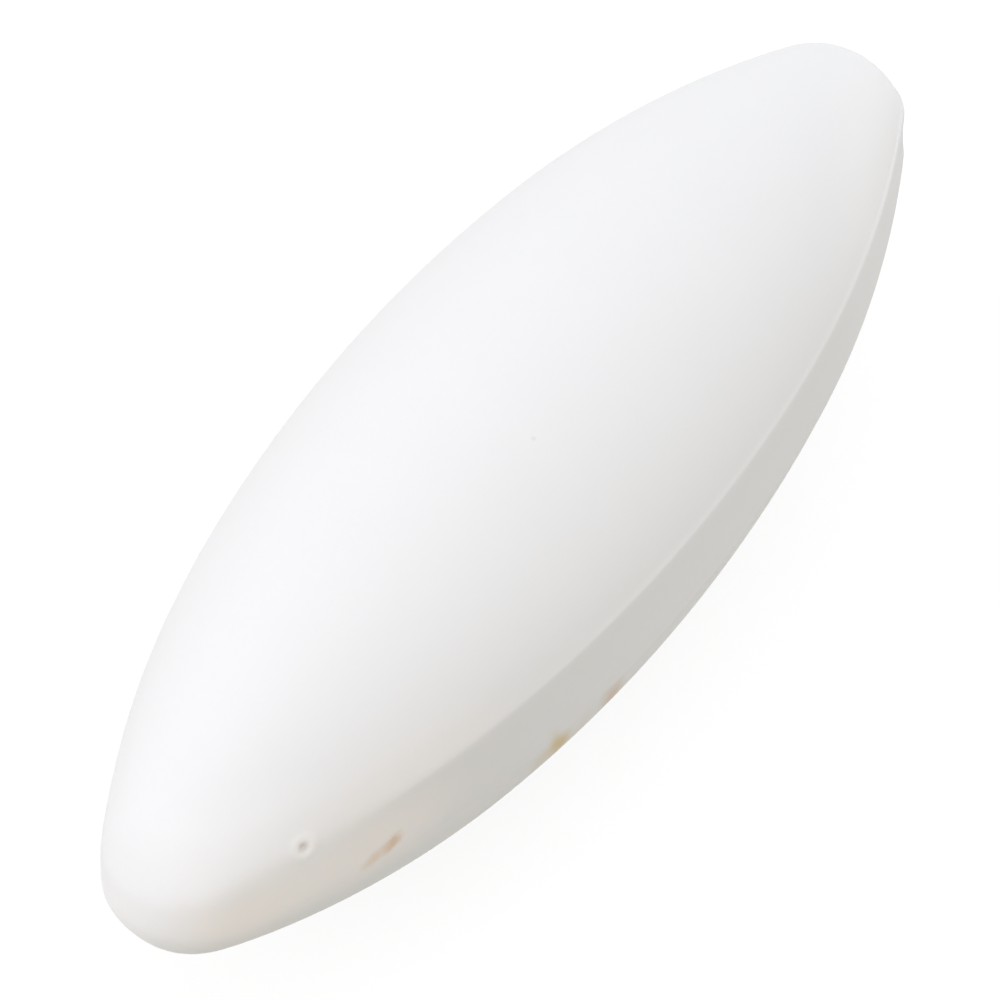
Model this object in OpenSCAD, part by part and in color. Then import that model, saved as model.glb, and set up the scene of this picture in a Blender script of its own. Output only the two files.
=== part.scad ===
// Oval magnetic stirring bar: a rod magnet sealed inside a pressed and sintered fluoropolymer jacket.
// Millimetres. X runs along the bar, Z points up, and the origin is the centre of the bar.
//
// The jacket's body is turned about X from five arcs that run smoothly into each other: a long arc
// along the side, a shoulder towards each tip and a ball on each tip. The jacket is pressed between
// two hollow punches in a straight-walled die, and that wall leaves an upright belt round the level
// parting plane Z = 0. Along the sides the die's outline follows a level cut through the body, so the
// belt keeps its height there. Towards the tips the outline opens, and the belt narrows.

/* [Jacket body] */
// Length over both tips, which the die's wall trims
bar_length = 64; // [53:1:80]
// Greatest diameter, at mid-length
bar_diameter = 20; // [16.5:0.5:25]
// Radius of the ball on each tip
tip_radius = 4.4; // [3.6:0.1:5.4]
// Radius along the middle of the side, as times that of one plain arc from side to tip
side_flatness = 1.14; // [1.05:0.01:1.4]
// Radius of each shoulder, as times that of the same plain arc
shoulder_roundness = 0.82; // [0.68:0.01:0.95]

/* [Belt] */
// Height of the upright wall round the parting plane, along the sides
belt_height = 4; // [2:0.2:5.6]
// Height of the wall at the very tips
belt_tip_height = 2; // [0.8:0.2:3]
// Height of the level cut that the die's tips are drawn to, as times that along the sides
die_tip_cut = 0.9; // [0.8:0.02:1]
// Radius of the die's shoulders, as times that which would keep the belt's height
die_shoulder_opening = 1.08; // [0.96:0.01:1.2]

/* [Magnet] */
// Length of the rod magnet
magnet_length = 40; // [30:1:42]
// Diameter of the rod magnet
magnet_diameter = 10; // [6:0.5:12]
// Bevel ground on both ends of the rod
magnet_bevel = 0.6; // [0.2:0.1:1.5]
// Space that the sintered jacket leaves round the magnet
magnet_clearance = 0; // [0:0.01:0.1]

/* [Hidden] */
$fn = 180;

// Sizes that are worked out are drawn to the micrometre.
function drawn(size) = round(size * 1000) / 1000;

body_radius = bar_diameter / 2;
belt_level = belt_height / 2;

// Radius of the level cut, at some height, through a ball.
function level_cut(radius, height) = drawn(sqrt(pow(radius, 2) - pow(height, 2)));

die_half_width = level_cut(body_radius, belt_level);
die_tip_r = level_cut(tip_radius, die_tip_cut * belt_level);
die_tip_centre = [bar_length / 2 - die_tip_r, 0];
body_tip_centre = [bar_length / 2 - level_cut(tip_radius, belt_tip_height / 2), 0];

// Radius of the one arc that would run from the middle of a side straight into the tip's ball.
function plain_arc(half_width, tip_r, tip_c) =
    (pow(tip_c[0], 2) + pow(half_width, 2) - pow(tip_r, 2)) / (2 * (half_width - tip_r));

// Centre of the arc along the middle of the side.
function side_centre(half_width, side_r) = [0, half_width - side_r];

// Centre of the shoulder arc, which touches the side arc and the tip's ball from inside and outside.
function shoulder_centre(half_width, side_r, shoulder_r, tip_r, tip_c) =
    let (
        span = tip_c - side_centre(half_width, side_r),
        reach = norm(span),
        from_side = side_r - shoulder_r,
        from_tip = shoulder_r - tip_r,
        along = (pow(from_side, 2) - pow(from_tip, 2) + pow(reach, 2)) / (2 * reach),
        across = sqrt(pow(from_side, 2) - pow(along, 2)),
        dir = span / reach
    )
    side_centre(half_width, side_r) + along * dir + across * [-dir[1], dir[0]];

// Direction from one point to another, in degrees from the X axis.
function bearing(from, to) = atan2(to[1] - from[1], to[0] - from[0]);

// The five arcs of an oval's +Y side, each as [centre, radius, first x, last x].
function oval_arcs(half_width, side_r, shoulder_r, tip_r, tip_c) =
    let (
        side_c = side_centre(half_width, side_r),
        shoulder_c = shoulder_centre(half_width, side_r, shoulder_r, tip_r, tip_c),
        side_x = drawn(side_r * cos(bearing(side_c, shoulder_c))),
        shoulder_x = drawn(tip_c[0] + tip_r * cos(bearing(shoulder_c, tip_c))),
        shoulder = [shoulder_c, shoulder_r, side_x, shoulder_x],
        tip = [tip_c, tip_r, shoulder_x, tip_c[0] + tip_r]
    )
    [[side_c, side_r, -side_x, side_x], shoulder, tip, far_end(shoulder), far_end(tip)];

// The same arc at the -X end.
function far_end(arc) = [[-arc[0][0], arc[0][1]], arc[1], -arc[3], -arc[2]];

// Radius of the bend in a level cut, where the turned body has radius r, slope dr and bend ddr.
function level_bend(r, dr, ddr) =
    let (
        y = sqrt(pow(r, 2) - pow(belt_level, 2)),
        dy = r * dr / y,
        ddy = (pow(dr, 2) + r * ddr) / y - pow(r * dr, 2) / pow(y, 3)
    )
    pow(1 + pow(dy, 2), 1.5) / abs(ddy);

// The turned body's arcs.
body_plain_r = plain_arc(body_radius, tip_radius, body_tip_centre);
body_side_r = drawn(side_flatness * body_plain_r);
body_shoulder_r = drawn(shoulder_roundness * body_plain_r);
body_arcs = oval_arcs(body_radius, body_side_r, body_shoulder_r, tip_radius, body_tip_centre);

// Middle of the body's shoulder arc, as its bearing from the arc's centre.
body_shoulder_c = body_arcs[1][0];
mid_shoulder = (
    bearing(side_centre(body_radius, body_side_r), body_shoulder_c)
    + bearing(body_shoulder_c, body_tip_centre)
) / 2;

// The die's arcs. Side and shoulder start from the bend of the level cut at the middle of the body's
// own arc.
die_side_r = drawn(level_bend(body_radius, 0, -1 / body_side_r));
die_shoulder_r = drawn(die_shoulder_opening * level_bend(
    body_shoulder_c[1] + body_shoulder_r * sin(mid_shoulder),
    -1 / tan(mid_shoulder),
    -1 / (body_shoulder_r * pow(sin(mid_shoulder), 3))
));
die_arcs = oval_arcs(die_half_width, die_side_r, die_shoulder_r, die_tip_r, die_tip_centre);

// Disc at a point. Its place is given in two steps, the second finer than a micrometre, so that
// arcs which touch still meet when the numbers are written out.
module disc(centre, r) {
    coarse = [drawn(centre[0]), drawn(centre[1])];
    translate(coarse)
        translate(centre - coarse)
            circle(r);
}

// Turns a profile drawn along X, on its +Y side, about the X axis.
module turn_about_x() {
    rotate([0, -90, 0])
        rotate_extrude()
            rotate(-90)
                children();
}

// The oval body, turned one arc at a time.
module turned_body() {
    for (arc = body_arcs)
        turn_about_x()
            intersection() {
                disc(arc[0], arc[1]);
                translate([arc[2], 0])
                    square([arc[3] - arc[2], bar_diameter]);
            }
}

// The straight-walled bore of the pressing die, one arc at a time and alike on both sides.
module die_bore() {
    for (arc = die_arcs)
        linear_extrude(height = bar_diameter + belt_height, center = true)
            intersection() {
                disc(arc[0], arc[1]);
                mirror([0, 1])
                    disc(arc[0], arc[1]);
                translate([arc[2], -bar_diameter])
                    square([arc[3] - arc[2], 2 * bar_diameter]);
            }
}

// The rod magnet, or the space for it with a clearance all round.
module magnet_rod(clearance) {
    radius = magnet_diameter / 2 + clearance;
    end = magnet_length / 2 + clearance;
    turn_about_x()
        polygon([
            [-end, 0],
            [-end, radius - magnet_bevel],
            [magnet_bevel - end, radius],
            [end - magnet_bevel, radius],
            [end, radius - magnet_bevel],
            [end, 0]
        ]);
}

module ptfe_jacket() {
    color([0.94, 0.94, 0.93])
        difference() {
            intersection() {
                turned_body();
                die_bore();
            }
            magnet_rod(magnet_clearance);
        }
}

module bar_magnet() {
    color([0.42, 0.42, 0.44])
        magnet_rod(0);
}

ptfe_jacket();
bar_magnet();
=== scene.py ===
"""Looks of an oval magnetic stirring bar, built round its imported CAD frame.

The bar is a rod magnet sealed in a pressed and sintered jacket of white fluoropolymer. Its long axis is
X and Z points up. Blender works in metres, and the sizes in this file are millimetres unless their name
or docstring says otherwise. The jacket is modelled here as one closed skin: a turned dome above and
below, the straight wall that the pressing die leaves between them, and the sealed space for the magnet.
Use has rubbed its -X end, and there is a pinhole there. The magnet keeps its CAD mesh and gets its own
finish.
"""

import logging
from dataclasses import dataclass
from enum import Enum
from math import asin, atan2, ceil, cos, exp, pi, radians, sin, sqrt, tan
from typing import Any, Callable, Mapping, Sequence, Union

import bpy
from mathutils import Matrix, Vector


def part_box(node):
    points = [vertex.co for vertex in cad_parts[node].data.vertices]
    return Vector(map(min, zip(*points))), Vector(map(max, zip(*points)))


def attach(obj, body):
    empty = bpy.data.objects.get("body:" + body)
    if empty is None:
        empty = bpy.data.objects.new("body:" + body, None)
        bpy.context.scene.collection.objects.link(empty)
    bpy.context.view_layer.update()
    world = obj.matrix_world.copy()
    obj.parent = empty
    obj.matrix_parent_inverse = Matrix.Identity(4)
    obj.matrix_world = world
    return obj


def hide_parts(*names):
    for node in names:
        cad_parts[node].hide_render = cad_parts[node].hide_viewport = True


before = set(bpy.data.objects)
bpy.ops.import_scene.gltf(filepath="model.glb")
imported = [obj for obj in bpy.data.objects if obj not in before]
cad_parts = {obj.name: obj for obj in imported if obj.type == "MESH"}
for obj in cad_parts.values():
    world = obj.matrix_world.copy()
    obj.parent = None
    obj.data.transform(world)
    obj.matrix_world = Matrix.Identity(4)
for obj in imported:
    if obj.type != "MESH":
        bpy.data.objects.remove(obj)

LOG = logging.getLogger("stirring_bar")

MM = 0.001
JACKET_NODE = "ptfe_jacket"
MAGNET_NODE = "bar_magnet"
JACKET_PIECE = "jacket_skin"
WALL_SHARE = "die_wall"
BODY = "root"

# Points closer than these are one point, in metres: where faces meet, and on the mirror.
WELD = 1e-7
MIRROR_WELD = 1e-6

# Where the pinhole lies, in millimetres.
PIT_PLACE = (-26.13, -5.08, 2.0)

Colour = tuple[float, float, float]

WHITE: Colour = (1.0, 1.0, 1.0)


def mm(*values: float) -> Vector:
    """Returns a point or vector given in millimetres, in metres."""
    return Vector(values) * MM


# --------------------------------------------------------------
# Outlines of arcs


@dataclass(frozen=True)
class Arc:
    """One arc of an outline, in the outline's own plane, in millimetres and radians.

    Args:
        centre: the arc's centre.
        radius: its radius.
        start: bearing from the centre at which the arc starts.
        end: bearing at which it ends, counted the same way round.
    """

    centre: tuple[float, float]
    radius: float
    start: float
    end: float

    def steps(self, sag: float) -> int:
        """Returns how many straight steps the arc takes, where none may miss it by more than sag."""
        return ceil((self.end - self.start) * sqrt(self.radius / (8 * sag)))


@dataclass(frozen=True)
class Oval:
    """Five arcs that run smoothly from one tip along a side to the other tip.

    Args:
        half_width: distance from the long axis to the middle of a side.
        tip_centre_x: distance from mid-length to the centre of each tip's arc.
        tip_radius: radius of each tip's arc.
        side_radius: radius of the arc along the middle of the side.
        shoulder_radius: radius of the arc between the side and a tip.
    """

    half_width: float
    tip_centre_x: float
    tip_radius: float
    side_radius: float
    shoulder_radius: float

    @property
    def side_centre(self) -> Vector:
        """Centre of the side's arc."""
        return Vector((0.0, self.half_width - self.side_radius))

    @property
    def tip_centre(self) -> Vector:
        """Centre of the tip's arc at +X."""
        return Vector((self.tip_centre_x, 0.0))

    @property
    def shoulder_centre(self) -> Vector:
        """Centre of the shoulder's arc at +X, which touches the side's arc and the tip's arc.

        Returns:
            The centre's place in the oval's plane, in millimetres.
        """
        span = self.tip_centre - self.side_centre
        from_side = self.side_radius - self.shoulder_radius
        from_tip = self.shoulder_radius - self.tip_radius
        along = (from_side**2 - from_tip**2 + span.length**2) / (2 * span.length)
        across = sqrt(from_side**2 - along**2)
        direction = span.normalized()
        return self.side_centre + direction * along + direction.orthogonal() * across

    @property
    def side_bearing(self) -> float:
        """Bearing at which the side's arc gives way to the shoulder's at +X."""
        reach = self.shoulder_centre - self.side_centre
        return atan2(reach.y, reach.x)

    @property
    def tip_bearing(self) -> float:
        """Bearing at which the shoulder's arc gives way to the tip's at +X."""
        reach = self.tip_centre - self.shoulder_centre
        return atan2(reach.y, reach.x)

    def side_arcs(self) -> list[Arc]:
        """Works out the oval's +Y side.

        Returns:
            Its arcs, from the +X tip to the -X tip.
        """
        shoulder, tip = self.shoulder_centre, self.tip_centre
        tip_b, side_b = self.tip_bearing, self.side_bearing
        return [
            Arc((tip.x, tip.y), self.tip_radius, 0.0, tip_b),
            Arc((shoulder.x, shoulder.y), self.shoulder_radius, tip_b, side_b),
            Arc(tuple(self.side_centre), self.side_radius, side_b, pi - side_b),
            Arc((-shoulder.x, shoulder.y), self.shoulder_radius, pi - side_b, pi - tip_b),
            Arc((-tip.x, tip.y), self.tip_radius, pi - tip_b, pi),
        ]

    def reach(self, travel: float, first: float) -> float:
        """Gives how far out a point of the outline lies.

        Args:
            travel: how far the point is along the outline from where it starts, in millimetres.
            first: bearing on the tip's arc at which it starts.

        Returns:
            The point's distance from mid-length, in millimetres.
        """
        for arc in self.side_arcs():
            start = max(arc.start, first)
            run = arc.radius * (arc.end - start)
            if travel <= run:
                break
            travel -= run
        return arc.centre[0] + arc.radius * cos(start + travel / arc.radius)

    def round_arcs(self) -> list[Arc]:
        """Works out the whole oval.

        Returns:
            Its arcs, from the +X tip by +Y and -Y back to it.
        """
        back = [
            Arc((-arc.centre[0], -arc.centre[1]), arc.radius, arc.start + pi, arc.end + pi)
            for arc in self.side_arcs()
        ]
        return self.side_arcs() + back


@dataclass(frozen=True)
class JacketForm:
    """The jacket's driving sizes, in millimetres, and the two ovals that follow from them.

    Args:
        length: length over both tips.
        diameter: greatest diameter of the turned body.
        tip_radius: radius of the ball on each tip.
        side_flatness: radius of the side's arc, as times that of one plain arc from side to tip.
        shoulder_roundness: radius of the shoulder's arc, as times that of the same plain arc.
        belt_height: height of the upright wall round the parting plane, along the sides.
        belt_tip_height: height of the wall at the very tips.
        die_tip_cut: height of the level cut that the die's tips are drawn to, as times that of the sides.
        die_shoulder_opening: radius of the die's shoulders, as times that which keeps the belt's height.
        edge_width: half width of the rounding on the edges above and below the wall.
        edge_lip: how far the rounded edges stand proud.
    """

    length: float = 64.0
    diameter: float = 20.0
    tip_radius: float = 4.4
    side_flatness: float = 1.14
    shoulder_roundness: float = 0.82
    belt_height: float = 4.0
    belt_tip_height: float = 2.0
    die_tip_cut: float = 0.9
    die_shoulder_opening: float = 1.08
    edge_width: float = 0.16
    edge_lip: float = 0.05

    @property
    def belt_level(self) -> float:
        """Height of the wall's upper edge above the parting plane, along the sides."""
        return self.belt_height / 2

    @property
    def tip_centre_x(self) -> float:
        """Distance from mid-length to the centre of each tip's ball, which the die's wall trims."""
        return self.length / 2 - sqrt(self.tip_radius**2 - (self.belt_tip_height / 2) ** 2)

    @property
    def body(self) -> Oval:
        """Profile that is turned about the long axis.

        Returns:
            The oval.
        """
        radius = self.diameter / 2
        plain = (self.tip_centre_x**2 + radius**2 - self.tip_radius**2) / (2 * (radius - self.tip_radius))
        return Oval(
            radius,
            self.tip_centre_x,
            self.tip_radius,
            self.side_flatness * plain,
            self.shoulder_roundness * plain,
        )

    def level_bend(self, radius: float, slope: float, bend: float) -> float:
        """Gives the radius of the bend in the level cut at the belt's edge.

        Args:
            radius: radius of the turned body at that place along it.
            slope: how fast that radius changes along the body.
            bend: how fast that slope changes.

        Returns:
            The radius of the level cut's bend there.
        """
        y = sqrt(radius**2 - self.belt_level**2)
        dy = radius * slope / y
        ddy = (slope**2 + radius * bend) / y - (radius * slope) ** 2 / y**3
        return (1 + dy**2) ** 1.5 / abs(ddy)

    @property
    def die(self) -> Oval:
        """Outline of the die's wall: a level cut along the sides, which opens towards the tips.

        Returns:
            The oval.
        """
        body = self.body
        middle = (body.side_bearing + body.tip_bearing) / 2
        shoulder = body.shoulder_radius
        tip_radius = sqrt(self.tip_radius**2 - (self.die_tip_cut * self.belt_level) ** 2)
        level_shoulder = self.level_bend(
            body.shoulder_centre.y + shoulder * sin(middle),
            -1 / tan(middle),
            -1 / (shoulder * sin(middle) ** 3),
        )
        return Oval(
            sqrt(body.half_width**2 - self.belt_level**2),
            self.length / 2 - tip_radius,
            tip_radius,
            self.level_bend(body.half_width, 0.0, -1 / body.side_radius),
            self.die_shoulder_opening * level_shoulder,
        )


# --------------------------------------------------------------
# Modelling steps


def clear_selection() -> None:
    """Deselects every object."""
    bpy.ops.object.select_all(action="DESELECT")


def make_active(obj: bpy.types.Object) -> None:
    """Selects one object alone and makes it the active one.

    Args:
        obj: the object.
    """
    clear_selection()
    obj.select_set(True)
    bpy.context.view_layer.objects.active = obj


def start_point(name: str, place: Vector) -> bpy.types.Object:
    """Starts a mesh as a single selected point, and stays in edit mode.

    Args:
        name: the new object's name.
        place: the point's place, in metres.

    Returns:
        The new object.
    """
    clear_selection()
    bpy.ops.mesh.primitive_plane_add(size=MM, enter_editmode=True)
    obj = bpy.context.active_object
    obj.name = obj.data.name = name
    bpy.ops.mesh.merge(type="CENTER")
    bpy.ops.transform.translate(value=place)
    return obj


def sweep(arc: Arc, sag: float, height: float = 0.0, upright: bool = False) -> None:
    """Draws on from the selected point along an arc, in edit mode.

    Args:
        arc: the arc, in the XY plane, or in the XZ plane if upright.
        sag: how far a step may miss the arc, in millimetres.
        height: height of the XY plane, in millimetres.
        upright: whether the arc lies in the XZ plane instead.
    """
    across, along = arc.centre[1], arc.centre[0]
    bpy.ops.mesh.spin(
        steps=arc.steps(sag),
        angle=arc.end - arc.start,
        center=mm(along, 0, across) if upright else mm(along, across, height),
        axis=(0, 1, 0) if upright else (0, 0, -1),
    )


def apply_modifier(obj: bpy.types.Object, kind: str, **settings: Any) -> None:
    """Adds a modifier to an object, sets it up and applies it.

    Args:
        obj: the object.
        kind: the modifier's type.
        settings: its properties.
    """
    make_active(obj)
    modifier = obj.modifiers.new(kind.title(), kind)
    for name, value in settings.items():
        setattr(modifier, name, value)
    bpy.ops.object.modifier_apply(modifier=modifier.name)


@dataclass
class TurnedBody:
    """The jacket's body before the die cuts it, as a fine turned surface for other skins to lie on.

    Args:
        profile: the outline that is turned about X.
        sag: how far a step along the profile may miss its arc, in millimetres.
        turns: number of steps round the axis.
    """

    profile: Oval
    sag: float = 0.0002
    turns: int = 720

    def build(self) -> bpy.types.Object:
        """Sweeps the profile arc by arc and turns it round X.

        Returns:
            The turned body.
        """
        tip = self.profile.tip_centre_x + self.profile.tip_radius
        obj = start_point("turned_body", mm(tip, 0, 0))
        for arc in self.profile.side_arcs():
            sweep(arc, self.sag, upright=True)
        bpy.ops.object.mode_set(mode="OBJECT")
        apply_modifier(
            obj,
            "SCREW",
            axis="X",
            angle=2 * pi,
            steps=self.turns,
            render_steps=self.turns,
            use_merge_vertices=True,
            merge_threshold=self.sag * MM,
        )
        return obj


@dataclass(frozen=True)
class Climb:
    """How the dome's rings climb along one of its two middle lines, in millimetres.

    Args:
        first: travel from the belt's edge to the first ring.
        last: travel from the belt's edge to the last ring.
        growth: how much wider the steps get, from 0 for even steps.
    """

    first: float
    last: float
    growth: float = 0.0

    def travel(self, ring: int, rings: int) -> float:
        """Gives how far a ring lies from the belt's edge.

        Args:
            ring: the ring's number, counted from that edge.
            rings: number of rings.

        Returns:
            The travel from the edge to the ring.
        """
        if ring == 0:
            return 0.0
        share = (ring - 1) / (rings - 1)
        return self.first + (self.last - self.first) * share * (1 + self.growth * (share - 1))


def weigh(obj: bpy.types.Object, name: str, weight: Callable[[Vector], float]) -> None:
    """Gives an object a vertex group.

    Args:
        obj: the object.
        name: the group's name.
        weight: what a vertex weighs by its place in millimetres; it is held between 0 and 1.
    """
    group = obj.vertex_groups.new(name=name)
    for vertex in obj.data.vertices:
        share = min(1.0, weight(vertex.co / MM))
        if share > 0:
            group.add([vertex.index], share, "REPLACE")


def record_wall(obj: bpy.types.Object, full: float = 0.07, none: float = 0.17) -> None:
    """Records on each vertex how much it belongs to the die's upright wall.

    Args:
        obj: the jacket's skin.
        full: tilt, as the height of the skin's normal, up to which it is all wall.
        none: tilt from which it is no wall.
    """
    shares = obj.data.attributes.new(WALL_SHARE, "FLOAT", "POINT")
    for vertex, share in zip(obj.data.vertices, shares.data):
        share.value = max(0.0, min(1.0, (none - abs(vertex.normal.z)) / (none - full)))


@dataclass(frozen=True)
class RubbedEnd:
    """How use has rubbed the belt's edges towards the -X tip, in millimetres.

    Args:
        start: place along the bar at which the rubbing starts.
        end: place at which it is strongest.
        reach: height above and below the parting plane up to which it goes.
        strength: how strong it would be at the parting plane, where 1 is all that a place can take.
        onset: power with which it comes on along the bar.
        strokes: number of smoothing steps.
    """

    start: float = 2.0
    end: float = -29.0
    reach: float = 3.6
    strength: float = 2.0
    onset: int = 2
    strokes: int = 130

    def weight(self, place: Vector) -> float:
        """Returns how strongly the skin is rubbed at a place."""
        along = max(0.0, min(1.0, (self.start - place.x) / (self.start - self.end)))
        return along**self.onset * max(0.0, self.strength * (1 - abs(place.z) / self.reach))

    def rub(self, obj: bpy.types.Object) -> None:
        """Smooths an object's skin there."""
        weigh(obj, "rubbed", self.weight)
        apply_modifier(obj, "SMOOTH", iterations=self.strokes, vertex_group="rubbed")


@dataclass(frozen=True)
class Pit:
    """A pinhole in the skin with a low raised ring round it, in millimetres.

    Args:
        place: its middle.
        radius: radius of the hollow.
        depth: depth of the hollow.
        ring: radius of the raised ring.
        rise: height of the ring.
        patch: radius within which the mesh is made finer.
        cuts: number of cuts across each face there.
    """

    place: tuple[float, float, float]
    radius: float = 0.22
    depth: float = 0.16
    ring: float = 0.56
    rise: float = 0.03
    patch: float = 1.1
    cuts: int = 7

    def away(self, place: Vector) -> float:
        """Returns how far a place is from the pit's middle."""
        return (place - Vector(self.place)).length

    def bell(self, place: Vector, ring: float) -> float:
        """Gives the height of a round swelling, within the patch.

        Args:
            place: where it is wanted, in millimetres.
            ring: distance from the pit's middle at which the swelling is highest.

        Returns:
            Its height there, as a share of its greatest height.
        """
        away = self.away(place)
        return exp(-(((away - ring) / self.radius) ** 2)) if away < self.patch else 0.0

    def press(self, obj: bpy.types.Object) -> None:
        """Presses the pit into an object's skin.

        Args:
            obj: the object.
        """
        make_active(obj)
        bpy.ops.object.mode_set(mode="EDIT")
        bpy.ops.mesh.select_mode(type="FACE")
        bpy.ops.mesh.select_all(action="DESELECT")
        bpy.ops.object.mode_set(mode="OBJECT")
        for face in obj.data.polygons:
            face.select = self.away(face.center / MM) < self.patch
        bpy.ops.object.mode_set(mode="EDIT")
        bpy.ops.mesh.subdivide(number_cuts=self.cuts, smoothness=1.0)
        bpy.ops.mesh.select_mode(type="VERT")
        bpy.ops.object.mode_set(mode="OBJECT")
        for name, height, ring in (("hollow", -self.depth, 0.0), ("ring", self.rise, self.ring)):
            weigh(obj, name, lambda place: self.bell(place, ring))
            apply_modifier(obj, "DISPLACE", strength=height * MM, mid_level=0.0, vertex_group=name)


@dataclass
class Jacket:
    """The jacket: domes, die wall, rounded edges and the sealed space for the magnet.

    Args:
        form: its driving sizes.
        sag: how far a step round the belt may miss its arc, in millimetres.
        rings: number of rings from the belt up to the dome's top patch.
        side_climb: how the rings climb at mid-length.
        tip_climb: how they climb from a tip.
        patch_span: number of faces along the top patch.
        wall_rows: levels of the wall's rows, as shares of its edge's level.
        edge_segments: faces round each rounded edge.
        rubbed: how the belt's edges are rubbed.
        pit: the pinhole near the -X tip.
    """

    form: JacketForm
    sag: float = 0.0005
    rings: int = 30
    side_climb: Climb = Climb(0.3, 6.7)
    tip_climb: Climb = Climb(0.4, 14.0, 0.45)
    patch_span: int = 56
    wall_rows: tuple[float, ...] = (0.4, 0.0)
    edge_segments: int = 5
    rubbed: RubbedEnd = RubbedEnd()
    pit: Pit = Pit(PIT_PLACE)

    def ring_size(self, ring: int) -> Vector:
        """Gives the size of one of the dome's rings.

        Args:
            ring: the ring's number, counted from the belt's edge.

        Returns:
            Its half length and its half width, in millimetres.
        """
        form, radius = self.form, self.form.diameter / 2
        side_start = asin(form.belt_level / radius)
        tip_start = asin(form.belt_tip_height / 2 / form.tip_radius)
        side_turn = self.side_climb.travel(ring, self.rings) / radius
        reach = form.body.reach(self.tip_climb.travel(ring, self.rings), tip_start)
        return Vector((reach, radius * cos(side_start + side_turn)))

    def dome(self, body: bpy.types.Object) -> bpy.types.Object:
        """Builds the skin above the belt, as rings inside the die's outline that rise to the body.

        Args:
            body: the turned body that the skin lies on.

        Returns:
            The dome, whose rim is the belt's upper edge.
        """
        obj = start_point(JACKET_PIECE, mm(self.form.length / 2, 0, 0))
        for arc in self.form.die.round_arcs():
            sweep(arc, self.sag)
        bpy.ops.mesh.select_all(action="SELECT")
        bpy.ops.mesh.remove_doubles(threshold=WELD)
        sizes = [self.ring_size(ring) for ring in range(self.rings + 1)]
        for outer, inner in zip(sizes, sizes[1:]):
            bpy.ops.mesh.extrude_region_move()
            bpy.ops.transform.resize(
                value=(inner.x / outer.x, inner.y / outer.y, 1), center_override=(0, 0, 0)
            )
        bpy.ops.mesh.fill_grid(span=self.patch_span)
        bpy.ops.object.mode_set(mode="OBJECT")
        apply_modifier(
            obj,
            "SHRINKWRAP",
            target=body,
            wrap_method="PROJECT",
            use_project_z=True,
            use_positive_direction=True,
        )
        return obj

    def wall(self, obj: bpy.types.Object) -> None:
        """Draws the die's straight wall down to the parting plane, and rounds its upper edge.

        Args:
            obj: the dome, whose rim is that edge.
        """
        make_active(obj)
        bpy.ops.object.mode_set(mode="EDIT")
        bpy.ops.mesh.select_mode(type="VERT")
        bpy.ops.mesh.select_all(action="DESELECT")
        bpy.ops.mesh.select_non_manifold()
        bpy.ops.object.mode_set(mode="OBJECT")
        rim = [vertex.index for vertex in obj.data.vertices if vertex.select]
        bpy.ops.object.mode_set(mode="EDIT")
        levels = (1.0,) + self.wall_rows
        for above, below in zip(levels, levels[1:]):
            bpy.ops.mesh.extrude_region_move()
            bpy.ops.transform.resize(value=(1, 1, below / above), center_override=(0, 0, 0))
        bpy.ops.mesh.select_all(action="DESELECT")
        bpy.ops.object.mode_set(mode="OBJECT")
        for index in rim:
            obj.data.vertices[index].select = True
        bpy.ops.object.mode_set(mode="EDIT")
        bpy.ops.mesh.bevel(
            offset=self.form.edge_width * MM,
            segments=self.edge_segments,
            profile=0.5,
            clamp_overlap=False,
        )
        bpy.ops.transform.shrink_fatten(value=self.form.edge_lip * MM)
        bpy.ops.object.mode_set(mode="OBJECT")

    def sealed_space(self, magnet: bpy.types.Object) -> bpy.types.Object:
        """Builds the skin of the space that the jacket keeps round the magnet.

        Args:
            magnet: the magnet's CAD node.

        Returns:
            That skin, facing into the space.
        """
        mesh = magnet.data.copy()
        mesh.materials.clear()
        space = bpy.data.objects.new("sealed_space", mesh)
        bpy.context.scene.collection.objects.link(space)
        make_active(space)
        bpy.ops.object.mode_set(mode="EDIT")
        bpy.ops.mesh.select_all(action="SELECT")
        bpy.ops.mesh.remove_doubles(threshold=WELD)
        bpy.ops.mesh.flip_normals()
        bpy.ops.object.mode_set(mode="OBJECT")
        return space

    def build(self, magnet: bpy.types.Object) -> bpy.types.Object:
        """Builds the jacket round its magnet.

        Args:
            magnet: the magnet's CAD node.

        Returns:
            The finished jacket.
        """
        body = TurnedBody(self.form.body).build()
        skin = self.dome(body)
        bpy.data.objects.remove(body)
        self.wall(skin)
        apply_modifier(
            skin,
            "MIRROR",
            use_axis=(False, False, True),
            use_clip=True,
            merge_threshold=MIRROR_WELD,
        )
        make_active(skin)
        bpy.ops.object.mode_set(mode="EDIT")
        bpy.ops.mesh.select_all(action="SELECT")
        bpy.ops.mesh.remove_doubles(threshold=WELD)
        bpy.ops.mesh.normals_make_consistent(inside=False)
        bpy.ops.object.mode_set(mode="OBJECT")
        self.rubbed.rub(skin)
        # The wall's share is where the finish paints shade.
        record_wall(skin)
        self.pit.press(skin)
        space = self.sealed_space(magnet)
        make_active(skin)
        space.select_set(True)
        bpy.ops.object.join()
        bpy.ops.object.shade_smooth()
        return skin


# --------------------------------------------------------------
# Shader maths


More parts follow.
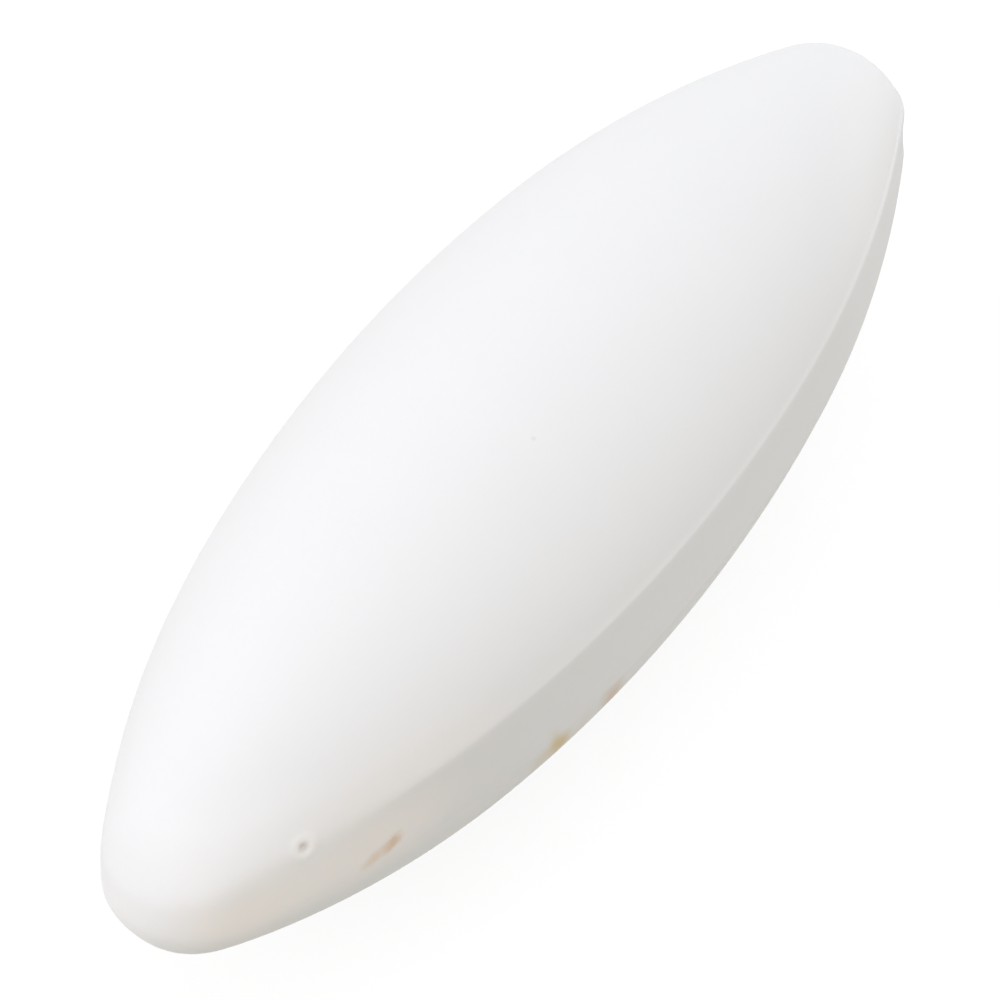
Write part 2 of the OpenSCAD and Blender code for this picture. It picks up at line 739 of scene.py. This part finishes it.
class Signal:
    """An output of a node, which Python's operators carry on into Math nodes."""

    def __init__(self, board: "Board", socket: bpy.types.NodeSocket) -> None:
        """Keeps the board that the node is on and the node's output socket."""
        self.board = board
        self.socket = socket

    def math(self, operation: str, first: "Term", second: "Term" = 0.0) -> "Signal":
        """Returns the result of a Math node on one or two terms."""
        return self.board.add("ShaderNodeMath", {"operation": operation}, {0: first, 1: second})

    def __add__(self, other: "Term") -> "Signal":
        """Returns this value plus another."""
        return self.math("ADD", self, other)

    __radd__ = __add__

    def __sub__(self, other: "Term") -> "Signal":
        """Returns this value less another."""
        return self.math("SUBTRACT", self, other)

    def __rsub__(self, other: "Term") -> "Signal":
        """Returns another value less this one."""
        return self.math("SUBTRACT", other, self)

    def __mul__(self, other: "Term") -> "Signal":
        """Returns this value times another."""
        return self.math("MULTIPLY", self, other)

    __rmul__ = __mul__

    def __abs__(self) -> "Signal":
        """Returns this value without its sign."""
        return self.math("ABSOLUTE", self)

    def most(self, other: "Term") -> "Signal":
        """Returns the greater of this value and another."""
        return self.math("MAXIMUM", self, other)


Term = Union[Signal, float, Sequence[float]]
Inputs = Mapping[Union[str, int], Term]


class Board:
    """A node tree that a finish is drawn on."""

    def __init__(self, owner: Union[bpy.types.Material, bpy.types.World]) -> None:
        """Empties the owner's node tree and gives it an output node.

        Args:
            owner: the material or world that the tree belongs to.
        """
        owner.use_nodes = True
        self.tree = owner.node_tree
        self.tree.nodes.clear()
        kind = "World" if isinstance(owner, bpy.types.World) else "Material"
        self.output = self.tree.nodes.new("ShaderNodeOutput" + kind)

    def add(
        self, kind: str, settings: Mapping[str, Any], inputs: Inputs, output: Union[str, int] = 0
    ) -> Signal:
        """Adds a node.

        Args:
            kind: the node's type.
            settings: its properties, which are set first.
            inputs: values or links of its input sockets, by name or number.
            output: the output socket that is wanted, by name or number.

        Returns:
            That output.
        """
        node = self.tree.nodes.new(kind)
        for name, value in settings.items():
            setattr(node, name, value)
        for name, value in inputs.items():
            if isinstance(value, Signal):
                self.tree.links.new(value.socket, node.inputs[name])
            else:
                node.inputs[name].default_value = value
        return Signal(self, node.outputs[output])

    def place(self) -> Signal:
        """Returns the place on the piece, in millimetres."""
        return self.scaled(self.add("ShaderNodeTexCoord", {}, {}, "Object"), 1 / MM)

    def scaled(self, vector: Term, factor: Term) -> Signal:
        """Returns a vector or a colour times a number."""
        return self.add(
            "ShaderNodeVectorMath", {"operation": "SCALE"}, {"Vector": vector, "Scale": factor}
        )

    def parts(self, vector: Signal) -> tuple[Signal, Signal, Signal]:
        """Returns a vector's three components."""
        split = self.add("ShaderNodeSeparateXYZ", {}, {"Vector": vector})
        return tuple(Signal(self, socket) for socket in split.socket.node.outputs)

    def noise(self, place: Signal, cell: float, detail: float = 2.0, roughness: float = 0.5) -> Signal:
        """Gives a soft random pattern.

        Args:
            place: where it is read, in millimetres.
            cell: size of its patches, in millimetres.
            detail: how many finer layers it has.
            roughness: how strong those layers are.

        Returns:
            A value that varies about 0, mostly by less than 0.3.
        """
        return (
            self.add(
                "ShaderNodeTexNoise",
                {"noise_dimensions": "3D"},
                {"Vector": place, "Scale": 1 / cell, "Detail": detail, "Roughness": roughness},
            )
            - 0.5
        )

    def fade(self, value: Signal, full: float, none: float) -> Signal:
        """Gives a mask that falls smoothly from 1 to 0.

        Args:
            value: the value that it follows.
            full: value at which the mask is 1.
            none: value at which it is 0.

        Returns:
            The mask.
        """
        return self.add(
            "ShaderNodeMapRange",
            {"interpolation_type": "SMOOTHSTEP"},
            {"Value": value, "From Min": none, "From Max": full, "To Min": 0.0, "To Max": 1.0},
        )

    def tint(self, first: Term, second: Term, share: Term) -> Signal:
        """Returns a colour that goes from the first to the second by a share."""
        return self.add("ShaderNodeMix", {"data_type": "RGBA"}, {0: share, 6: first, 7: second}, 2)

    def bump(self, height: Signal, depth: float) -> Signal:
        """Returns a normal bent by a height, where a height of 1 stands for a depth in millimetres."""
        return self.add("ShaderNodeBump", {}, {"Height": height, "Distance": depth * MM})

    def finish(self, shader: Signal) -> None:
        """Links a shader to the output node."""
        self.tree.links.new(shader.socket, self.output.inputs["Surface"])


def rgba(colour: Colour) -> tuple[float, float, float, float]:
    """Returns an opaque colour."""
    return (*colour, 1.0)


# --------------------------------------------------------------
# Finishes


class Border(Enum):
    """How a mark ends: the share of its half size over which it fades out."""

    MILD = 0.6
    SOFT = 0.9


@dataclass(frozen=True)
class Mark:
    """A small mark on the jacket, an oval patch with a ragged border.

    Args:
        place: its middle, in millimetres.
        size: its half lengths along its own three axes, in millimetres.
        turn: how it is turned about X, Y and Z, in radians.
        colour: its colour.
        strength: how much of the colour shows at its middle.
        border: how it ends.
        rag: how uneven its border is, as a share of its half size.
        rag_cell: size of the border's uneven patches, as a share of its narrower half size.
        spares_wall: whether it keeps off the die's wall.
    """

    place: tuple[float, float, float]
    size: tuple[float, float, float]
    turn: tuple[float, float, float]
    colour: Colour
    strength: float
    border: Border = Border.SOFT
    rag: float = 0.5
    rag_cell: float = 0.6
    spares_wall: bool = False

    def mask(self, board: Board, place: Signal, wall: Signal) -> Signal:
        """Gives how much of the mark shows.

        Args:
            board: the material's board.
            place: the place on the jacket, in millimetres.
            wall: how much of the die's wall that place is.

        Returns:
            The mark's share of the colour there.
        """
        own = board.add(
            "ShaderNodeMapping",
            {"vector_type": "TEXTURE"},
            {"Vector": place, "Location": self.place, "Rotation": self.turn, "Scale": self.size},
        )
        reach = board.add("ShaderNodeVectorMath", {"operation": "LENGTH"}, {0: own}, "Value")
        cell = self.rag_cell * min(self.size[0], self.size[2])
        ragged = reach + board.noise(place, cell) * self.rag
        share = board.fade(ragged, 1 - self.border.value, 1.0) * self.strength
        return share * (1 - wall) if self.spares_wall else share


@dataclass(frozen=True)
class Pattern:
    """A soft random pattern, and how strongly it shows in a finish.

    Args:
        cell: size of its patches, in millimetres.
        detail: how many finer layers it has.
        tone: how much it varies the brightness.
        matt: how much it varies the roughness.
        height: its share of the surface's relief.
        harshness: how strong the finer layers are.
    """

    cell: float
    detail: float
    tone: float = 0.0
    matt: float = 0.0
    height: float = 0.0
    harshness: float = 0.5

    def noise(self, board: Board, place: Signal) -> Signal:
        """Returns the pattern's value at a place in millimetres."""
        return board.noise(place, self.cell, self.detail, self.harshness)


@dataclass(frozen=True)
class PressedFluoropolymer:
    """White fluoropolymer, pressed from powder and sintered: waxy, faintly cloudy and finely grained.

    Args:
        marks: the marks on it: stains and specks that use has left, and patches of painted light.
        colour: its colour.
        roughness: how matt it is.
        cloud: the soft patches in its white.
        grain: its powder's grain.
        wave: the faint waves in its surface.
        wall: painted shade: how much darker the die's upright wall is drawn, for the less light that
            reaches it.
        relief: depth of its surface's relief, in millimetres.
        refraction: its refractive index.
        depth: how far light goes into it, in millimetres.
        tints: how far red, green and blue go into it, as shares of that.
        glow: how much of its light comes back from inside.
    """

    marks: tuple[Mark, ...]
    colour: Colour = (0.88, 0.885, 0.89)
    roughness: float = 0.42
    cloud: Pattern = Pattern(6.0, 3.0, tone=0.02, matt=0.1)
    grain: Pattern = Pattern(0.35, 2.0, tone=0.012, matt=0.08, height=0.12)
    wave: Pattern = Pattern(2.4, 1.0, height=0.5)
    # Painted shade on the die's upright wall.
    wall: float = 0.038
    relief: float = 0.02
    refraction: float = 1.38
    depth: float = 0.8
    tints: Colour = (1.0, 0.9, 0.8)
    glow: float = 0.25

    def material(self) -> bpy.types.Material:
        """Draws the finish.

        Returns:
            Its material.
        """
        material = bpy.data.materials.new("white_fluoropolymer")
        board = Board(material)
        place = board.place()
        clouds = self.cloud.noise(board, place)
        grains = self.grain.noise(board, place)
        waves = self.wave.noise(board, place)
        wall = board.add("ShaderNodeAttribute", {"attribute_name": WALL_SHARE}, {}, "Fac")
        # Painted shade: the die's upright wall is drawn darker by its share of the wall, for the less
        # light that reaches it.
        tone = 1 + clouds * self.cloud.tone + grains * self.grain.tone - wall * self.wall
        colour = board.scaled(self.colour, tone)
        for mark in self.marks:
            colour = board.tint(colour, rgba(mark.colour), mark.mask(board, place, wall))
        height = waves * self.wave.height + grains * self.grain.height
        shader = board.add(
            "ShaderNodeBsdfPrincipled",
            {"subsurface_method": "RANDOM_WALK"},
            {
                "Base Color": colour,
                "Roughness": self.roughness + clouds * self.cloud.matt + grains * self.grain.matt,
                "IOR": self.refraction,
                "Subsurface Weight": self.glow,
                "Subsurface Radius": self.tints,
                "Subsurface Scale": self.depth * MM,
                "Normal": board.bump(height, self.relief),
            },
        )
        board.finish(shader)
        return material


@dataclass(frozen=True)
class CastAlnico:
    """Cast magnet alloy: a dull grey, grainy casting whose ends are ground bright across.

    Args:
        colour: colour of the ground metal.
        skin: colour of the casting's skin.
        grain: the casting's grain.
        pit: the small pits in its skin.
        pit_edge: values of the pits' pattern at which one is fully deep, and at which it starts.
        ground: distances from mid-length at which the end is all ground, and at which that starts.
        line_scale: number of grinding lines in a millimetre.
        line_detail: how many finer layers the lines have.
        line_height: the lines' share of the relief.
        relief: depth of the relief, in millimetres.
        skin_matt: how matt the skin is.
        ground_matt: how matt the ground metal is.
    """

    colour: Colour = (0.42, 0.41, 0.40)
    skin: Colour = (0.20, 0.19, 0.185)
    grain: Pattern = Pattern(0.5, 4.0, tone=0.5, matt=0.3, height=2.0, harshness=0.7)
    pit: Pattern = Pattern(0.9, 2.0, tone=0.4)
    pit_edge: tuple[float, float] = (0.2, 0.12)
    ground: tuple[float, float] = (19.9, 19.35)
    line_scale: float = 14.0
    line_detail: float = 3.0
    line_height: float = 0.4
    relief: float = 0.03
    skin_matt: float = 0.62
    ground_matt: float = 0.36

    def material(self) -> bpy.types.Material:
        """Draws the finish.

        Returns:
            Its material.
        """
        material = bpy.data.materials.new("cast_alnico")
        board = Board(material)
        place = board.place()
        along, across, _ = board.parts(place)
        grains = self.grain.noise(board, place)
        pits = board.fade(self.pit.noise(board, place), *self.pit_edge)
        ground = board.fade(abs(along), *self.ground)
        lines = board.add(
            "ShaderNodeTexNoise",
            {"noise_dimensions": "1D"},
            {"W": across, "Scale": self.line_scale, "Detail": self.line_detail},
        )
        metal = board.tint(rgba(self.skin), rgba(self.colour), ground)
        tone = 1 + grains * self.grain.tone - pits * self.pit.tone
        skin_height = (grains * self.grain.height - pits) * (1 - ground)
        matt = self.skin_matt - ground * (self.skin_matt - self.ground_matt)
        shader = board.add(
            "ShaderNodeBsdfPrincipled",
            {},
            {
                "Base Color": board.scaled(metal, tone),
                "Metallic": 1.0,
                "Roughness": matt + grains * self.grain.matt,
                "Normal": board.bump(skin_height + lines * ground * self.line_height, self.relief),
            },
        )
        board.finish(shader)
        return material


# --------------------------------------------------------------
# Studio


def seen(board: Board) -> Signal:
    """Tells what is seen directly, in a gloss or through glass from plain light.

    Args:
        board: the board of the material or world.

    Returns:
        1 for what is seen, and 0 for plain light.
    """
    camera, glossy, through, diffuse = (
        board.add("ShaderNodeLightPath", {}, {}, f"Is {kind} Ray")
        for kind in ("Camera", "Glossy", "Transmission", "Diffuse")
    )
    return camera.most(glossy).most(through - diffuse)


@dataclass(frozen=True)
class WhiteSweep:
    """The white board that the bar lies on, which shows as white with the bar's shadow on it.

    Args:
        bounce: the board's own white, as plain light meets it.
        glow: how much of the white that is seen is the backdrop's own.
        shadow: how much of it the bar's shadow can take away.
    """

    bounce: Colour = (0.40, 0.375, 0.30)
    glow: float = 0.88
    shadow: float = 0.16

    def material(self) -> bpy.types.Material:
        """Draws the finish.

        Returns:
            Its material.
        """
        material = bpy.data.materials.new("white_sweep")
        board = Board(material)
        plain = board.add("ShaderNodeBsdfDiffuse", {}, {"Color": rgba(self.bounce)})
        glow = board.add(
            "ShaderNodeEmission", {}, {"Color": rgba(WHITE), "Strength": self.glow}
        )
        lit = board.add("ShaderNodeBsdfDiffuse", {}, {"Color": rgba((self.shadow,) * 3)})
        shown = board.add("ShaderNodeAddShader", {}, {0: glow, 1: lit})
        board.finish(board.add("ShaderNodeMixShader", {}, {0: seen(board), 1: plain, 2: shown}))
        return material


@dataclass(frozen=True)
class SoftWindow:
    """A large round soft lamp that faces the bar and doesn't show in its gloss.

    Args:
        name: the lamp's name.
        bearing: direction it stands in, in degrees round from +X by +Y.
        height: its height above the floor, in degrees.
        glow: brightness of its face, where 1 is white.
        reach: distance from the bar, in metres.
        spread: half angle that it covers, in degrees.
    """

    name: str
    bearing: float
    height: float
    glow: Colour
    reach: float = 0.8
    spread: float = 28.0

    def build(self) -> bpy.types.Object:
        """Sets up the lamp and turns it towards the bar.

        Returns:
            The lamp.
        """
        bearing, height = radians(self.bearing), radians(self.height)
        outward = Vector((cos(bearing) * cos(height), sin(bearing) * cos(height), sin(height)))
        radius = self.reach * tan(radians(self.spread))
        strongest = max(self.glow)
        clear_selection()
        bpy.ops.object.light_add(
            type="AREA", location=outward * self.reach, rotation=outward.to_track_quat("Z", "Y").to_euler()
        )
        lamp = bpy.context.active_object
        lamp.name = self.name
        lamp.data.shape = "DISK"
        lamp.data.size = 2 * radius
        lamp.data.color = [part / strongest for part in self.glow]
        lamp.data.energy = strongest * pi * (pi * radius**2)
        lamp.visible_glossy = False
        return lamp


@dataclass(frozen=True)
class Studio:
    """The plain pale studio: white board, even room light and two soft windows.

    Args:
        floor_level: height of the board's top, in metres.
        room: colour of the room's light, where 1 is white.
        windows: the lamps.
        floor_size: width of the board, in metres.
    """

    floor_level: float
    room: Colour = (0.943, 0.923, 0.912)
    windows: tuple[SoftWindow, ...] = (
        SoftWindow("window_left", 150.0, 10.0, (1.31, 1.355, 1.56)),
        SoftWindow("window_right", 0.0, 35.0, (0.33, 0.43, 0.58)),
    )
    floor_size: float = 6.0

    def floor(self) -> bpy.types.Object:
        """Lays the white board.

        Returns:
            The board.
        """
        clear_selection()
        bpy.ops.mesh.primitive_plane_add(size=self.floor_size, location=(0, 0, self.floor_level))
        floor = bpy.context.active_object
        floor.name = floor.data.name = "white_sweep"
        floor.data.materials.append(WhiteSweep().material())
        return floor

    def world(self) -> bpy.types.World:
        """Sets up the room's even light, with a white backdrop where it is seen.

        Returns:
            The world.
        """
        world = bpy.data.worlds.new("room")
        board = Board(world)
        colour = board.tint(rgba(self.room), rgba(WHITE), seen(board))
        board.finish(board.add("ShaderNodeBackground", {}, {"Color": colour, "Strength": 1.0}))
        return world

    def build(self) -> None:
        """Sets up the floor, the room and the lamps."""
        self.floor()
        bpy.context.scene.world = self.world()
        for window in self.windows:
            window.build()
        bpy.context.scene.view_settings.view_transform = "Standard"


@dataclass(frozen=True)
class Viewpoint:
    """The camera: a long lens that looks down on the bar from its near end.

    Args:
        bearing: direction that it stands in, in degrees round from -Y by +X.
        height: its height, in degrees.
        reach: distance from its target, in metres.
        offset: the target's place right of and above the bar's centre in the picture, in millimetres.
        lens: focal length, as times the sensor's width.
        sight: how far it sees, in metres.
    """

    bearing: float = -58.68
    height: float = 44.83
    reach: float = 1.0
    offset: tuple[float, float] = (-0.379, -0.397)
    lens: float = 21.639
    sight: float = 10.0

    def build(self) -> bpy.types.Object:
        """Sets up the camera and makes it the scene's own.

        Returns:
            The camera.
        """
        bearing, height = radians(self.bearing), radians(self.height)
        back = Vector((sin(bearing) * cos(height), -cos(bearing) * cos(height), sin(height)))
        right = Vector((cos(bearing), sin(bearing), 0))
        target = (right * self.offset[0] + back.cross(right) * self.offset[1]) * MM
        clear_selection()
        bpy.ops.object.camera_add(
            location=target + back * self.reach, rotation=back.to_track_quat("Z", "Y").to_euler()
        )
        camera = bpy.context.active_object
        camera.data.lens = camera.data.sensor_width * self.lens
        camera.data.clip_end = self.sight
        bpy.context.scene.camera = camera
        return camera


# --------------------------------------------------------------
# The whole scene

MARKS: tuple[Mark, ...] = (
    # Painted light: the skin is drawn paler towards the -X tip, for the light that reaches that end, and
    # warmer along its belt there.
    Mark(
        (-28.5, -3.5, 1.2), (9.0, 4.4, 5.0), (0.0, 0.0, -0.41), (0.97, 0.97, 0.975), 0.85, rag=0.2
    ),
    Mark(
        (-31.4, 1.0, -0.8), (4.3, 5.0, 3.4), (0.0, 0.0, 0.0), (0.985, 0.985, 0.99), 0.95, rag=0.2
    ),
    Mark(
        (-29.2, -3.7, -0.3), (6.5, 2.4, 2.6), (0.0, 0.0, -0.39), (0.998, 0.95, 0.905), 0.9, rag=0.2
    ),
    Mark(
        (-22.5, -6.5, -0.2), (7.5, 2.0, 2.9), (0.0, 0.0, -0.33), (0.99, 0.935, 0.895), 0.75, rag=0.2
    ),
    # Painted light: a fainter patch above the belt, paler and warmer, kept off the wall.
    Mark(
        (-20.5, -7.3, 2.7),
        (10.0, 2.8, 3.2),
        (0.0, 0.0, -0.3),
        (0.935, 0.915, 0.895),
        0.75,
        rag=0.2,
        spares_wall=True,
    ),
    # Painted light: the dome is drawn paler towards the +X tip, beside the belt, for the light that falls
    # there.
    Mark(
        (25.5, -5.2, 3.2),
        (13.0, 4.8, 4.2),
        (0.0, 0.0, 0.41),
        (0.935, 0.935, 0.935),
        0.9,
        rag=0.2,
        spares_wall=True,
    ),
    # Pale ring round the pinhole, and a darker spot in it.
    Mark(
        PIT_PLACE, (0.92,) * 3, (0.0, 0.0, 0.0), (1.0, 0.985, 0.965), 0.95, Border.MILD, 0.1
    ),
    Mark(PIT_PLACE, (0.42,) * 3, (0.0, 0.0, 0.0), (0.64, 0.60, 0.57), 0.9, rag=0.2),
    # Tan streak on the wall.
    Mark((-21.4, -6.82, -0.85), (0.95, 0.6, 0.6), (0.0, -0.45, -0.3), (0.78, 0.60, 0.43), 0.9),
    Mark((-22.4, -6.55, -1.1), (1.15, 0.6, 0.54), (0.0, -0.3, -0.3), (0.82, 0.70, 0.56), 0.75),
    # Ochre stains low on the near side.
    Mark(
        (-9.9, -8.8, -3.5), (1.05, 1.5, 3.0), (0.0, -0.6, -0.12), (0.71, 0.53, 0.18), 0.95, rag=0.4
    ),
    Mark((-11.0, -8.6, -3.7), (1.2, 1.3, 2.4), (0.0, -0.6, -0.12), (0.80, 0.70, 0.54), 0.7),
    Mark((-8.1, -8.95, -3.9), (1.2, 1.3, 1.8), (0.0, -0.4, -0.1), (0.82, 0.75, 0.62), 0.45),
    Mark((-5.8, -9.0, -3.5), (1.15, 1.4, 2.9), (0.0, -0.6, -0.07), (0.72, 0.55, 0.38), 0.85),
    # Grey speck on the dome.
    Mark((-4.27, -3.95, 9.07), (0.17,) * 3, (0.0, 0.0, 0.0), (0.66, 0.67, 0.69), 0.4, rag=0.3),
)


def log_piece(piece: bpy.types.Object) -> None:
    """Reports a finished piece and the size of its mesh."""
    LOG.info("%s: %d faces", piece.name, len(piece.data.polygons))


def main() -> None:
    """Builds the scene: the jacket and the magnet's finish, then the studio and the camera."""
    logging.basicConfig(level=logging.INFO, format="%(message)s")
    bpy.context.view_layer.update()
    magnet = bpy.data.objects[MAGNET_NODE]

    jacket = Jacket(JacketForm()).build(magnet)
    jacket.data.materials.append(PressedFluoropolymer(MARKS).material())
    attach(jacket, BODY)
    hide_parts(JACKET_NODE)
    log_piece(jacket)

    alloy = CastAlnico().material()
    for slot in magnet.material_slots:
        slot.material = alloy
    log_piece(magnet)

    Studio(floor_level=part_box(JACKET_NODE)[0].z).build()
    Viewpoint().build()


if __name__ == "__main__":
    main()
